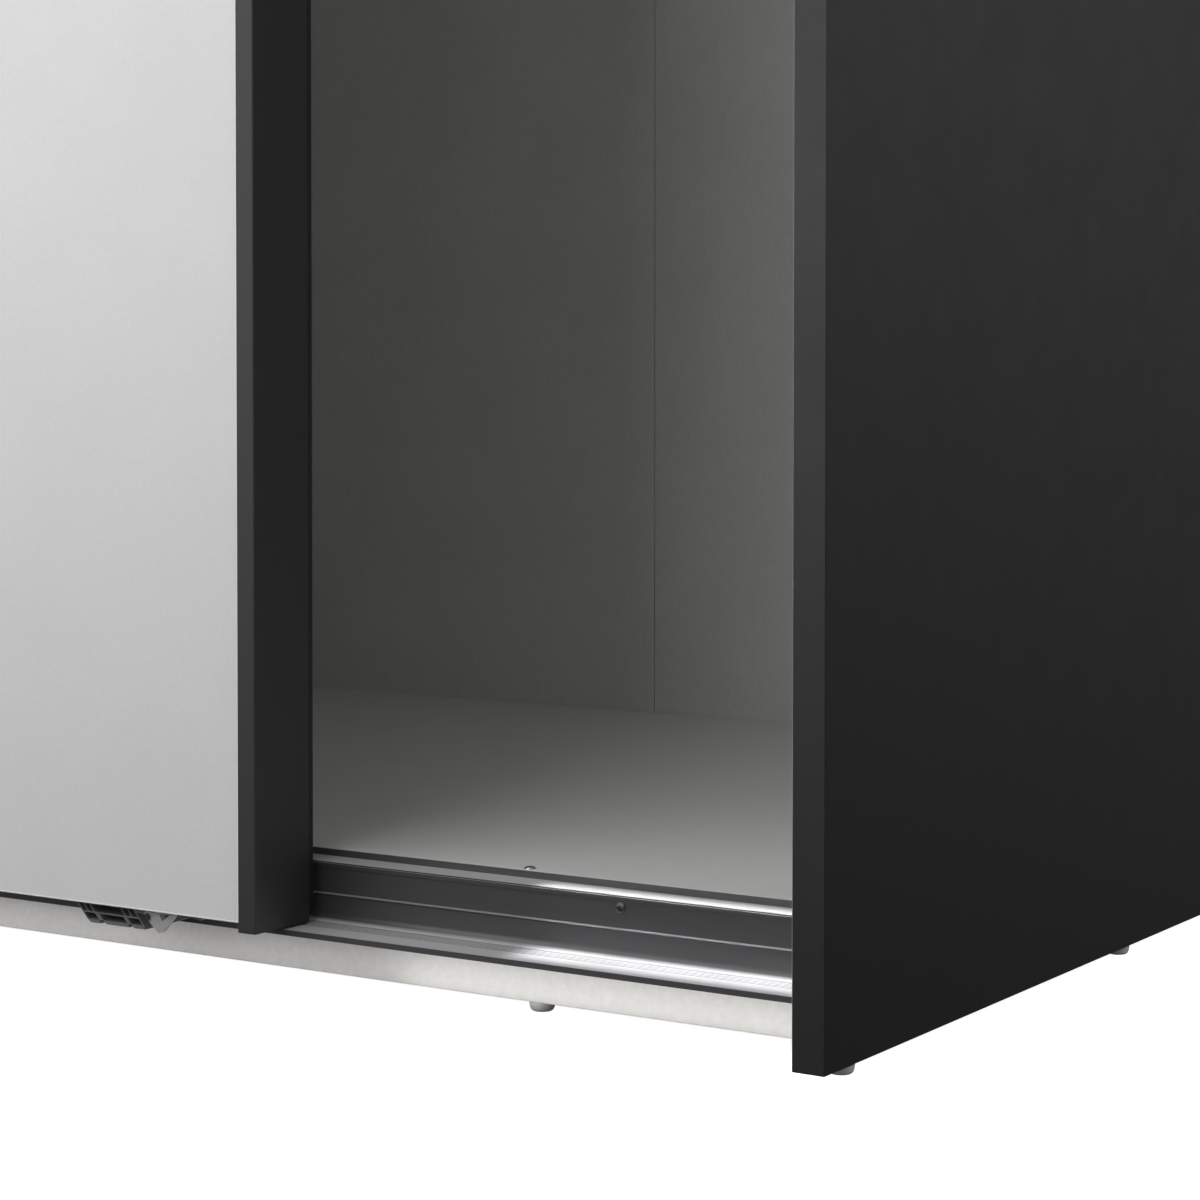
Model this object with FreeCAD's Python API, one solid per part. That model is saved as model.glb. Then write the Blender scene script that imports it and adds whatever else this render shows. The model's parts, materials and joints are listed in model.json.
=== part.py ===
import FreeCAD, Part

# Two-door sliding wardrobe: a board carcass on glides, two doors hanging on rollers from a
# double-track rail under the top board, and an aluminium guide rail screwed to the plinth.
# Millimetres. X is the width, Y runs from the front into the wardrobe, Z is up. The origin is on the
# floor, in the middle of the footprint. The front door rests partly open, the rear door closed.

import os

# ---------------------------------------------------------------- driving dimensions
WIDTH = 1920.0
HEIGHT = 2160.0              # floor to the top of the side panels
DEPTH = 680.0
BOARD = 16.0                 # carcass boards
EDGE_EASE = 0.6              # rounded arris of the boards
BACK_SHEET = 3.0
BACK_RECESS = 20.0           # wall side of the back sheets to the carcass's rear edge
GROOVE_DEPTH = 5.0
GROOVE_FIT = 0.2             # back sheet to each wall of its groove
SHEET_GAP = 0.6              # between the two back sheets of a compartment
JOINER_WIDTH = 30.0
JOINER_THICKNESS = 2.0

GLIDE_RADIUS = 6.2
GLIDE_HEIGHT = 5.4
GLIDE_CHAMFER = 1.2
GLIDE_END_OFFSET = 30.0      # front and rear glides from a board's end
PLINTH_GLIDE_OFFSET = 185.0  # from the wardrobe's side

PLINTH_BEHIND_DOOR = 2.0     # rear door's face to the plinth's face
STRINGER_OFFSET = 200.0      # floor stringers from the wardrobe's side
STRINGER_INNER_OFFSET = 187.0  # inner stringers from the middle

# doors
DOOR_PANEL = 16.0
DOOR_OVERLAP = 40.0
DOOR_EDGE_GAP = 1.0          # closed door to the side panel
FRONT_SET_BACK = 1.5         # front door's face behind the front edge of the sides
FRONT_LIFT = 5.3             # front door's panel over the lower rail's ledge
REAR_LIFT = 3.6              # rear door's panel over the compartment floor
SEAL_GAP = 5.2               # front door's seal to the rear door's face
DOOR_TOP_GAP = 8.0
FRONT_OPENING = 292.0        # how far the front door stands open at rest

# handle profiles along the doors' upright edges
HANDLE_WIDTH = 11.0
HANDLE_PROUD = 1.5
FRONT_HANDLE_DEPTH = 42.6
REAR_HANDLE_DEPTH = 29.5
HANDLE_WALL = 1.5
HANDLE_DROP = 4.2            # the front handles reach this far below their panel
REAR_HANDLE_DROP = 1.5
HANDLE_ROUND = 1.0
HANDLE_SPLINE = 3.0          # width of the chamber behind the panel's edge
CAP_THICKNESS = 1.6
SEAL_DEPTH = 5.2
SEAL_WIDTH = 5.0
SEAL_INSET = 0.8             # from the profile's outer face
SEAL_FOOT = 1.2
SEAL_END_GAP = 2.2

# lower rail, levels measured from the underside of the sides
LIP_GAP = 5.5                # front door's back face to the rail's lip
LIP_HEIGHT = 2.8
LIP_THICKNESS = 2.0
LEDGE_LEVEL = 26.7
RAIL_WALL = 1.6
TRACK_LEVEL = 56.0
TRACK_LIP = 3.4              # the rear lip's rise over the track
RIDGE_LEVEL = 40.0
RIDGE_SIZE = 0.8
BEAD_HEIGHT = 2.0
BEAD_PROUD = 0.5
BEAD_LINE = 0.7
STEP_OFFSET = 13.8           # plinth face to the rear lip's face
STEP_THICKNESS = 1.5
LEDGE_GROOVE_AT = 15.0       # main ledge groove, behind the lip's face
LEDGE_GROOVE = 0.6
COVE_RADIUS = 4.0            # web to ledge
FINE_GROOVES = 4
FINE_GROOVE_PITCH = 2.3
RAIL_END_GAP = 0.5

# upper rail, measured from the back face of each door
RAIL_PLATE = 3.0
TRACK_FRONT = 3.5
TRACK_WEB = 16.0
TRACK_WALL = 2.0
TRACK_LEDGE = 2.5
TRACK_DROP = 41.0            # top board to the top of the track's ledge
BEAD_RADIUS = 1.5
BEAD_RISE = 2.0
STOP_HEIGHT = 22.0

# rollers and hangers
WHEEL_RADIUS = 15.5
WHEEL_GROOVE = 1.5
WHEEL_GROOVE_FIT = 0.4       # groove to the bead, each side
WHEEL_WIDTH = 9.0
WHEEL_OFFSET = 4.5           # door's back face to the wheel
RUN_GAP = 0.3                # wheel tread to the bead
BEARING_RADIUS = 9.0
BEARING_WIDTH = 5.0
AXLE_RADIUS = 4.0
AXLE_FIT = 0.05
AXLE_SIDE_FIT = 0.3          # bearing to the axle's shoulder and head
AXLE_HEAD = 5.5
HANGER_THICKNESS = 2.5
HANGER_WIDTH = 60.0
HANGER_LENGTH = 92.0
HANGER_DROP = 4.0            # door's top edge to the hanger's top
HANGER_SCREW_MIDDLE = 21.0   # hanger's lower edge to the middle of its screws
HANGER_SCREW_PITCH = 22.0
ADJUSTER_RADIUS = 5.5
HANGER_INSET = 90.0          # door's edge to the roller's axis

# bottom guides
GUIDE_INSET = 46.0           # front door's edge to the guide
GUIDE_BODY = 48.0
GUIDE_LEAN = 10.0            # how far the body's ends lean along the rail
GUIDE_DROP = 11.2            # below the front door's panel
GUIDE_RIB = 0.9
GUIDE_UPPER_WALLS = (0.0, 0.11, 0.22, 0.76, 0.88, 1.0)      # walls between the cells, along the body
GUIDE_LOBES = ((0.0, 0.22), (0.28, 0.72), (0.76, 1.0))      # lobes of the lower edge
GUIDE_LOBE_RISE = 1.8                                       # lower edge between the lobes
GUIDE_FACE = 9.0             # behind the front edge of the sides
GUIDE_TAIL = 30.0
GUIDE_GAP = 0.7              # guide to the rail and to the door's panel
HOOK_GAP = 0.4               # the guide's hook to the rail's lip
HOOK_THICKNESS = 1.6
LEVER_LENGTH = 20.0
LEVER_THICKNESS = 3.0
LEVER_DROP = 10.6
LEVER_CORNER = 2.0           # cut off beside the pin, so that the lever clears the panel as it turns
PIN_RADIUS = 1.2
PIN_HEAD = 1.7
PIN_HEAD_HEIGHT = 0.8
REAR_GUIDE_LENGTH = 60.0
GUIDE_PLATE = 2.4
GUIDE_PLATE_HEIGHT = 30.0

# interior
INTERIOR_GAP = 3.0           # upper rail's rear face to the front edge of the partition
SHELF_LEVEL = 1760.0         # underside of the hat shelves
SHELF_SIDE_GAP = 1.0
SHELF_FRONT_GAP = 6.0
PIN_LENGTH = 7.0
SUPPORT_RADIUS = 2.5
SUPPORT_REACH = 8.0
SUPPORT_INSET = 40.0
CLOTHES_RAIL_RADIUS = 12.5
CLOTHES_RAIL_WALL = 1.2
CLOTHES_RAIL_DROP = 55.0     # shelf's underside to the tube's axis
CLOTHES_RAIL_END = 3.5
CUP_RADIUS = 20.0
CUP_PLATE = 3.0
CUP_LENGTH = 14.0
CUP_FIT = 0.1

# fastenings
SCREW_HEAD = 2.8
SCREW_HEAD_RISE = 1.3
SCREW_SHANK = 1.7
SCREW_LENGTH = 12.0
SCREW_FIT = 0.1
RAIL_SCREW_GAP = 0.2         # rail screw's head to the rail's bead
RAIL_SCREW_OFFSET = 135.0    # first rail screw from the wardrobe's side
RAIL_SCREWS = 6
UPPER_RAIL_SCREWS = 7
CAM_RADIUS = 7.5
CAM_DEPTH = 12.0
CAM_INSET = 34.0
CAM_FRONT = 130.0
CAM_REAR = 90.0
BOLT_RADIUS = 3.0
BOLT_BITE = 7.0
DOWEL_RADIUS = 4.0
DOWEL_BITE = 10.0
ANCHOR_WIDTH = 40.0
ANCHOR_HEIGHT = 28.0
ANCHOR_DEPTH = 36.0
ANCHOR_STEEL = 2.0
ANCHOR_HOLE = 2.75
ANCHOR_INSET = 240.0

# ---------------------------------------------------------------- places worked out from them
FLOOR_LEVEL = TRACK_LEVEL + TRACK_LIP    # these levels are above the underside of the sides
FRONT_BOTTOM = LEDGE_LEVEL + FRONT_LIFT
LIP_BOTTOM = LEDGE_LEVEL - LIP_HEIGHT
REAR_BOTTOM = FLOOR_LEVEL + REAR_LIFT
RAIL_SCREW_LEVEL = TRACK_LEVEL - BEAD_LINE - BEAD_HEIGHT - RAIL_SCREW_GAP - SCREW_HEAD
REAR_SET_BACK = FRONT_SET_BACK - HANDLE_PROUD + FRONT_HANDLE_DEPTH + SEAL_DEPTH + SEAL_GAP
PLINTH_SET_BACK = REAR_SET_BACK + PLINTH_BEHIND_DOOR
LIP_SET_BACK = FRONT_SET_BACK + DOOR_PANEL + LIP_GAP
INTERIOR_SET_BACK = REAR_SET_BACK + DOOR_PANEL + TRACK_WEB + TRACK_WALL + INTERIOR_GAP
FRONT = -DEPTH / 2
REAR = DEPTH / 2
BASE = GLIDE_HEIGHT                      # underside of the sides and plinths
INNER = WIDTH / 2 - BOARD                # inner face of a side panel
CEILING = HEIGHT - BOARD                 # underside of the top board
FLOOR = BASE + FLOOR_LEVEL
PLINTH_FACE = FRONT + PLINTH_SET_BACK
PLINTH_BACK = PLINTH_FACE + BOARD
INTERIOR_FRONT = FRONT + INTERIOR_SET_BACK
SHEET_BACK = REAR - BACK_RECESS
SHEET_FRONT = SHEET_BACK - BACK_SHEET
HALF_PARTITION = BOARD / 2
DOOR_WIDTH = INNER + DOOR_OVERLAP / 2 - DOOR_EDGE_GAP
DOOR_TOP = CEILING - DOOR_TOP_GAP
FRONT_RIGHT = INNER - DOOR_EDGE_GAP - FRONT_OPENING
FRONT_LEFT = FRONT_RIGHT - DOOR_WIDTH
REAR_LEFT = DOOR_EDGE_GAP - INNER
REAR_RIGHT = REAR_LEFT + DOOR_WIDTH
FRONT_FACE = FRONT + FRONT_SET_BACK
REAR_FACE = FRONT + REAR_SET_BACK
FRONT_BACK = FRONT_FACE + DOOR_PANEL
REAR_BACK = REAR_FACE + DOOR_PANEL
WHEEL_AXIS = CEILING - TRACK_DROP + BEAD_RISE + RUN_GAP + WHEEL_RADIUS - WHEEL_GROOVE
RAIL_BOTTOM = CEILING - TRACK_DROP - TRACK_LEDGE

X_AXIS = FreeCAD.Vector(1, 0, 0)
Y_AXIS = FreeCAD.Vector(0, 1, 0)
Z_AXIS = FreeCAD.Vector(0, 0, 1)


# ---------------------------------------------------------------- shape helpers
def box(x0, x1, y0, y1, z0, z1):
    return Part.makeBox(x1 - x0, y1 - y0, z1 - z0, FreeCAD.Vector(x0, y0, z0))


def rod(x, y, z, radius, length, axis):
    return Part.makeCylinder(radius, length, FreeCAD.Vector(x, y, z), axis)


def board(x0, x1, y0, y1, z0, z1):
    """A board with eased edges."""
    solid = box(x0, x1, y0, y1, z0, z1)
    return solid.makeFillet(EDGE_EASE, solid.Edges)


def prism(points, direction):
    """The closed outline through the points, extruded along the direction."""
    wire = Part.makePolygon([*points, points[0]])
    return Part.Face(wire).extrude(direction)


def along_x(outline, x0, x1):
    return prism([FreeCAD.Vector(x0, y, z) for y, z in outline], X_AXIS * (x1 - x0))


def along_y(outline, y0, y1):
    return prism([FreeCAD.Vector(x, y0, z) for x, z in outline], Y_AXIS * (y1 - y0))


def along_z(outline, z0, z1):
    return prism([FreeCAD.Vector(x, y, z0) for x, y in outline], Z_AXIS * (z1 - z0))


def group(solids):
    return Part.makeCompound(solids)


def screw(x, y, z, axis, length=SCREW_LENGTH):
    """A screw whose head stands on the point and whose shank runs along the axis."""
    seat = FreeCAD.Vector(x, y, z)
    head = Part.makeCone(SCREW_HEAD, SCREW_HEAD * 0.7, SCREW_HEAD_RISE, seat, axis * -1)
    shank = Part.makeCylinder(SCREW_SHANK, length, seat, axis)
    return head.fuse(shank)


def screw_hole(x, y, z, axis, length=SCREW_LENGTH):
    start = FreeCAD.Vector(x, y, z) - axis * SCREW_FIT
    return Part.makeCylinder(SCREW_SHANK + SCREW_FIT, length + 2 * SCREW_FIT, start, axis)


def spread(first, last, count):
    """Evenly spaced places from the first to the last."""
    return [first + (last - first) * i / (count - 1) for i in range(count)]


def cut_all(solid, tools):
    return solid.cut(group(tools)) if tools else solid


# ---------------------------------------------------------------- places shared by several pieces
STRINGERS = [
    -WIDTH / 2 + STRINGER_OFFSET,
    -STRINGER_INNER_OFFSET,
    STRINGER_INNER_OFFSET,
    WIDTH / 2 - STRINGER_OFFSET,
]
FLOOR_SCREW_ROWS = [PLINTH_BACK + SCREW_HEAD + 1.2, SHEET_FRONT - CAM_REAR]
RAIL_SCREW_PLACES = spread(RAIL_SCREW_OFFSET - WIDTH / 2, WIDTH / 2 - RAIL_SCREW_OFFSET, RAIL_SCREWS)
UPPER_SCREW_PLACES = spread(RAIL_SCREW_OFFSET - WIDTH / 2, WIDTH / 2 - RAIL_SCREW_OFFSET, UPPER_RAIL_SCREWS)
UPPER_SCREW_ROW = REAR_FACE + DOOR_PANEL / 2
CAM_ROWS = [FRONT + CAM_FRONT, SHEET_FRONT - CAM_REAR]
ANCHORS = [ANCHOR_INSET - WIDTH / 2, WIDTH / 2 - ANCHOR_INSET]
BAYS = {"left": (-INNER, -HALF_PARTITION), "right": (HALF_PARTITION, INNER)}
SUPPORT_ROWS = [INTERIOR_FRONT + SHELF_FRONT_GAP + SUPPORT_INSET, SHEET_FRONT - SUPPORT_INSET]
SUPPORT_LEVEL = SHELF_LEVEL - SUPPORT_RADIUS
TUBE_ROW = (INTERIOR_FRONT + SHEET_FRONT) / 2
TUBE_LEVEL = SHELF_LEVEL - CLOTHES_RAIL_DROP


def floor_screw_places():
    return [(x, y) for x in STRINGERS for y in FLOOR_SCREW_ROWS]


def joint_ends():
    """Board ends that a cam fitting closes: (end face x, direction into the board, board's middle z)."""
    floor_middle = FLOOR - BOARD / 2
    top_middle = CEILING + BOARD / 2
    ends = [(-INNER, 1, top_middle), (INNER, -1, top_middle)]
    for low, high in BAYS.values():
        ends += [(low, 1, floor_middle), (high, -1, floor_middle)]
    return ends


def cam(end, into, middle, y, extra=0.0):
    """The cam disc, let into the board's underside."""
    bottom = middle - BOARD / 2 - extra
    return rod(end + into * CAM_INSET, y, bottom, CAM_RADIUS + extra, CAM_DEPTH + extra, Z_AXIS)


def bolt(end, into, middle, y, extra=0.0):
    """The bolt from the upright board into the cam disc."""
    start = end - into * (BOLT_BITE + extra)
    length = BOLT_BITE + extra + CAM_INSET - CAM_RADIUS
    return rod(start, y, middle, BOLT_RADIUS + extra, length, X_AXIS * into)


def cam_cuts():
    return [f(*end, y, SCREW_FIT) for end in joint_ends() for y in CAM_ROWS for f in (cam, bolt)]


def partition_dowel(y, extra=0.0):
    length = 2 * (DOWEL_BITE + extra)
    return rod(0, y, CEILING - DOWEL_BITE - extra, DOWEL_RADIUS + extra, length, Z_AXIS)


def support(x, into, y, extra=0.0):
    """A shelf pin: its shank is in the upright at x, and it reaches into the bay."""
    length = PIN_LENGTH + (extra if extra else SUPPORT_REACH)
    start = x - into * (PIN_LENGTH + extra)
    return rod(start, y, SUPPORT_LEVEL, SUPPORT_RADIUS + extra, length, X_AXIS * into)


def support_places():
    return [
        (x, into, y)
        for low, high in BAYS.values()
        for x, into in ((low, 1), (high, -1))
        for y in SUPPORT_ROWS
    ]


def support_cuts():
    return [support(x, into, y, SCREW_FIT) for x, into, y in support_places()]


def back_groove():
    """The space of the back sheets' grooves, over the whole width and height."""
    return box(
        -INNER - GROOVE_DEPTH, INNER + GROOVE_DEPTH,
        SHEET_FRONT - GROOVE_FIT, SHEET_BACK + GROOVE_FIT,
        FLOOR - GROOVE_DEPTH, CEILING + GROOVE_DEPTH,
    )


# ---------------------------------------------------------------- carcass
def side_panels():
    cuts = [back_groove(), *cam_cuts(), *support_cuts()]
    panels = {}
    for name, x in (("side_panel_left", -WIDTH / 2), ("side_panel_right", INNER)):
        panels[name] = cut_all(board(x, x + BOARD, FRONT, REAR, BASE, HEIGHT), cuts)
    return panels


def centre_partition():
    foot = board(-HALF_PARTITION, HALF_PARTITION, PLINTH_BACK, REAR, BASE, CEILING)
    step = box(-BOARD, BOARD, PLINTH_BACK - BOARD, INTERIOR_FRONT, FLOOR, HEIGHT)
    cuts = [step, *cam_cuts(), *support_cuts()]
    cuts += [partition_dowel(y, SCREW_FIT) for y in CAM_ROWS]
    for side in (-1, 1):
        inside = side * (HALF_PARTITION - GROOVE_DEPTH)
        outside = side * BOARD
        low, high = sorted((inside, outside))
        y0, y1 = SHEET_FRONT - GROOVE_FIT, SHEET_BACK + GROOVE_FIT
        cuts.append(box(low, high, y0, y1, FLOOR - GROOVE_DEPTH, HEIGHT))
    return cut_all(foot, cuts)


def top_board():
    cuts = [back_groove(), *cam_cuts()]
    cuts += [partition_dowel(y, SCREW_FIT) for y in CAM_ROWS]
    cuts += [screw_hole(x, UPPER_SCREW_ROW, CEILING - RAIL_PLATE, Z_AXIS) for x in UPPER_SCREW_PLACES]
    cuts += [screw_hole(*place, Z_AXIS * -1) for place in anchor_screw_places()]
    return cut_all(board(-INNER, INNER, FRONT, REAR, CEILING, HEIGHT), cuts)


def bottom_boards():
    cuts = [back_groove(), *cam_cuts()]
    cuts += [screw_hole(x, y, FLOOR, Z_AXIS * -1, BOARD + SCREW_LENGTH) for x, y in floor_screw_places()]
    boards = {}
    for name, (low, high) in BAYS.items():
        floor = board(low, high, PLINTH_BACK, REAR, FLOOR - BOARD, FLOOR)
        boards["bottom_board_" + name] = cut_all(floor, cuts)
    return boards


def plinths():
    top = BASE + TRACK_LEVEL - RAIL_WALL
    front = board(-INNER, INNER, PLINTH_FACE, PLINTH_BACK, BASE, top)
    level = BASE + RAIL_SCREW_LEVEL
    front = cut_all(front, [screw_hole(x, PLINTH_FACE, level, Y_AXIS) for x in RAIL_SCREW_PLACES])
    rears = []
    for low, high in BAYS.values():
        rears.append(board(low, high, SHEET_FRONT - BOARD, SHEET_FRONT, BASE, FLOOR - BOARD))
    return {"plinth_front": front, "plinth_rear": group(rears)}


def floor_stringers():
    cuts = [screw_hole(x, y, FLOOR, Z_AXIS * -1, BOARD + SCREW_LENGTH) for x, y in floor_screw_places()]
    boards = []
    for x in STRINGERS:
        stringer = board(x - BOARD / 2, x + BOARD / 2, PLINTH_BACK, SHEET_FRONT - BOARD, BASE, FLOOR - BOARD)
        boards.append(cut_all(stringer, cuts))
    return group(boards)


def back_panels():
    """Two sheets in each bay, with a flat joiner strip behind the seam."""
    pieces = {}
    strips = []
    reach = GROOVE_DEPTH - GROOVE_FIT
    low_z = FLOOR - reach
    high_z = CEILING + reach
    for name, (low, high) in BAYS.items():
        middle = (low + high) / 2
        outer_first = name == "left"
        names = ("outer", "inner") if outer_first else ("inner", "outer")
        spans = ((low - reach, middle - SHEET_GAP / 2), (middle + SHEET_GAP / 2, high + reach))
        for part, (x0, x1) in zip(names, spans):
            sheet = box(x0, x1, SHEET_FRONT, SHEET_BACK, low_z, high_z)
            pieces[f"back_panel_{name}_{part}"] = sheet
        strip = box(
            middle - JOINER_WIDTH / 2, middle + JOINER_WIDTH / 2,
            SHEET_BACK, SHEET_BACK + JOINER_THICKNESS, FLOOR, CEILING,
        )
        strips.append(strip)
    pieces["back_joiners"] = group(strips)
    return pieces


def glides():
    low, high = FRONT + GLIDE_END_OFFSET, REAR - GLIDE_END_OFFSET
    places = [(side * (WIDTH / 2 - BOARD / 2), y) for side in (-1, 1) for y in (low, 0.0, high)]
    places += [(0.0, y) for y in (0.0, high)]
    for side in (-1, 1):
        x = side * (WIDTH / 2 - PLINTH_GLIDE_OFFSET)
        places += [(x, PLINTH_FACE + BOARD / 2), (x, SHEET_FRONT - BOARD / 2)]
    solids = []
    for x, y in places:
        tread = FreeCAD.Vector(x, y, 0)
        foot = Part.makeCone(GLIDE_RADIUS - GLIDE_CHAMFER, GLIDE_RADIUS, GLIDE_CHAMFER, tread)
        pad = rod(x, y, GLIDE_CHAMFER, GLIDE_RADIUS, GLIDE_HEIGHT - GLIDE_CHAMFER, Z_AXIS)
        solids.append(foot.fuse(pad))
    return group(solids)


def connectors():
    cams = [cam(*end, y) for end in joint_ends() for y in CAM_ROWS]
    bolts = [bolt(*end, y) for end in joint_ends() for y in CAM_ROWS]
    dowels = [partition_dowel(y) for y in CAM_ROWS]
    return {"cam_discs": group(cams), "cam_bolts": group(bolts), "partition_dowels": group(dowels)}


# ---------------------------------------------------------------- interior
def hat_shelves():
    shelves = {}
    for name, (low, high) in BAYS.items():
        shelves["hat_shelf_" + name] = board(
            low + SHELF_SIDE_GAP, high - SHELF_SIDE_GAP,
            INTERIOR_FRONT + SHELF_FRONT_GAP, SHEET_FRONT - SHELF_SIDE_GAP,
            SHELF_LEVEL, SHELF_LEVEL + BOARD,
        )
    return shelves


def shelf_supports():
    return group([support(x, into, y) for x, into, y in support_places()])


def clothes_rails():
    tubes = []
    cups = []
    for low, high in BAYS.values():
        start = low + CLOTHES_RAIL_END
        length = high - low - 2 * CLOTHES_RAIL_END
        tube = rod(start, TUBE_ROW, TUBE_LEVEL, CLOTHES_RAIL_RADIUS, length, X_AXIS)
        bore = rod(start, TUBE_ROW, TUBE_LEVEL, CLOTHES_RAIL_RADIUS - CLOTHES_RAIL_WALL, length, X_AXIS)
        tubes.append(tube.cut(bore))
        for x, into in ((low, 1), (high, -1)):
            plate = rod(x, TUBE_ROW, TUBE_LEVEL, CUP_RADIUS, CUP_PLATE, X_AXIS * into)
            collar = rod(x, TUBE_ROW, TUBE_LEVEL, CLOTHES_RAIL_RADIUS + CUP_PLATE, CUP_LENGTH, X_AXIS * into)
            seat = rod(
                x + into * CUP_PLATE, TUBE_ROW, TUBE_LEVEL,
                CLOTHES_RAIL_RADIUS + CUP_FIT, CUP_LENGTH, X_AXIS * into,
            )
            cups.append(plate.fuse(collar).cut(seat))
    return {"clothes_rails": group(tubes), "clothes_rail_cups": group(cups)}


# ---------------------------------------------------------------- lower rail
def lower_rail():
    """One extrusion: front lip, grooved ledge, web with cove, ridge and bead, track and rear lip."""
    lip = FRONT + LIP_SET_BACK
    face = PLINTH_FACE - RAIL_WALL
    ledge = BASE + LEDGE_LEVEL
    ridge = BASE + RIDGE_LEVEL
    track = BASE + TRACK_LEVEL
    bead_top = track - BEAD_LINE
    bead_foot = bead_top - BEAD_HEIGHT
    step = PLINTH_FACE + STEP_OFFSET
    outline = [
        (lip, ledge), (lip, BASE + LIP_BOTTOM), (lip + LIP_THICKNESS, BASE + LIP_BOTTOM),
        (lip + LIP_THICKNESS, ledge - RAIL_WALL), (PLINTH_FACE, ledge - RAIL_WALL),
        (PLINTH_FACE, track - RAIL_WALL), (step + STEP_THICKNESS, track - RAIL_WALL),
        (step + STEP_THICKNESS, FLOOR), (step, FLOOR), (step, track), (face, track),
        (face, bead_top), (face - BEAD_PROUD, bead_top), (face - BEAD_PROUD, bead_foot),
        (face, bead_foot), (face, ridge + RIDGE_SIZE), (face - RIDGE_SIZE, ridge),
        (face, ridge - RIDGE_SIZE), (face, ledge),
    ]
    rail = along_x(outline, RAIL_END_GAP - INNER, INNER - RAIL_END_GAP)
    corners = [e for e in rail.Edges if abs(e.BoundBox.ZMax - ledge) < 0.01]
    cove = [e for e in corners if abs(e.BoundBox.YMax - face) < 0.01 and e.BoundBox.XLength > INNER]
    rail = rail.makeFillet(COVE_RADIUS, cove)
    fine = [LEDGE_GROOVE_AT + FINE_GROOVE_PITCH * (i + 1) for i in range(FINE_GROOVES)]
    deep = [LEDGE_GROOVE_AT, face - COVE_RADIUS - LEDGE_GROOVE - lip]
    grooves = [(at, LEDGE_GROOVE) for at in deep] + [(at, LEDGE_GROOVE / 2) for at in fine]
    cuts = []
    for at, depth in grooves:
        y = lip + at
        cuts.append(box(-INNER, INNER, y, y + LEDGE_GROOVE, ledge - depth, ledge + 1))
    cuts += [screw_hole(x, face, BASE + RAIL_SCREW_LEVEL, Y_AXIS) for x in RAIL_SCREW_PLACES]
    return cut_all(rail, cuts)


# ---------------------------------------------------------------- upper rail
def upper_rail():
    """A plate under the top board with one hooked track behind each door."""
    plate_bottom = CEILING - RAIL_PLATE
    ledge_top = CEILING - TRACK_DROP
    low, high = RAIL_END_GAP - INNER, INNER - RAIL_END_GAP
    rail = box(low, high, FRONT_BACK + TRACK_FRONT, REAR_BACK + TRACK_WEB + TRACK_WALL, plate_bottom, CEILING)
    for back in (FRONT_BACK, REAR_BACK):
        web = back + TRACK_WEB
        hook = [
            (web, plate_bottom), (web, ledge_top), (back + TRACK_FRONT, ledge_top),
            (back + TRACK_FRONT, RAIL_BOTTOM), (web + TRACK_WALL, RAIL_BOTTOM),
            (web + TRACK_WALL, plate_bottom),
        ]
        middle = back + WHEEL_OFFSET + WHEEL_WIDTH / 2
        bead = [
            (middle - BEAD_RADIUS, ledge_top), (middle - BEAD_RADIUS, ledge_top + BEAD_RISE - BEAD_RADIUS),
            (middle - BEAD_RADIUS * 0.5, ledge_top + BEAD_RISE),
            (middle + BEAD_RADIUS * 0.5, ledge_top + BEAD_RISE),
            (middle + BEAD_RADIUS, ledge_top + BEAD_RISE - BEAD_RADIUS), (middle + BEAD_RADIUS, ledge_top),
        ]
        rail = rail.fuse(along_x(hook, low, high)).fuse(along_x(bead, low, high))
    cuts = [screw_hole(x, UPPER_SCREW_ROW, plate_bottom, Z_AXIS) for x in UPPER_SCREW_PLACES]
    return cut_all(rail.removeSplitter(), cuts)


def rail_end_stops():
    """Rubber blocks in the ends of both tracks, on the ledge behind the bead."""
    ledge_top = CEILING - TRACK_DROP
    length = HANGER_INSET - WHEEL_RADIUS - 2 * DOOR_EDGE_GAP
    solids = []
    for back in (FRONT_BACK, REAR_BACK):
        middle = back + WHEEL_OFFSET + WHEEL_WIDTH / 2
        for side in (-1, 1):
            low, high = sorted((side * INNER, side * (INNER - length)))
            y0 = middle - WHEEL_WIDTH / 2
            block = box(low, high, y0, back + TRACK_WEB, ledge_top, ledge_top + STOP_HEIGHT)
            slot = box(
                low, high, middle - BEAD_RADIUS, middle + BEAD_RADIUS,
                ledge_top, ledge_top + BEAD_RISE,
            )
            solids.append(block.cut(slot))
    return group(solids)


# ---------------------------------------------------------------- doors
def handle(x_outer, into, y_front, depth, low, high, panel_back):
    """A hollow edge profile. x_outer is its outer face and into points from there to the panel."""
    notch_y = panel_back + HANGER_THICKNESS
    x_inner = x_outer + into * HANDLE_WIDTH
    x0, x1 = sorted((x_outer, x_inner))
    body = box(x0, x1, y_front, y_front + depth, low, high)
    uprights = [e for e in body.Edges if abs(e.BoundBox.ZLength - (high - low)) < 0.01]
    body = body.makeFillet(HANDLE_ROUND, uprights)
    a, b = sorted((x_outer + into * HANDLE_WALL, x_inner - into * HANDLE_SPLINE))
    chamber = box(a, b, y_front + HANDLE_WALL, y_front + depth - HANDLE_WALL, low - 1, high + 1)
    notch = box(x0 - 1, x1 + 1, notch_y, y_front + depth + 1, RAIL_BOTTOM - HANDLE_WALL * 2, high + 1)
    return cut_all(body, [chamber, notch])


def handle_caps(x_outer, into, y_front, depth, low):
    x0, x1 = sorted((x_outer, x_outer + into * HANDLE_WIDTH))
    cap = box(x0, x1, y_front, y_front + depth, low - CAP_THICKNESS, low)
    uprights = [e for e in cap.Edges if abs(e.BoundBox.ZLength - CAP_THICKNESS) < 0.01]
    return cap.makeFillet(HANDLE_ROUND, uprights)


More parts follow.
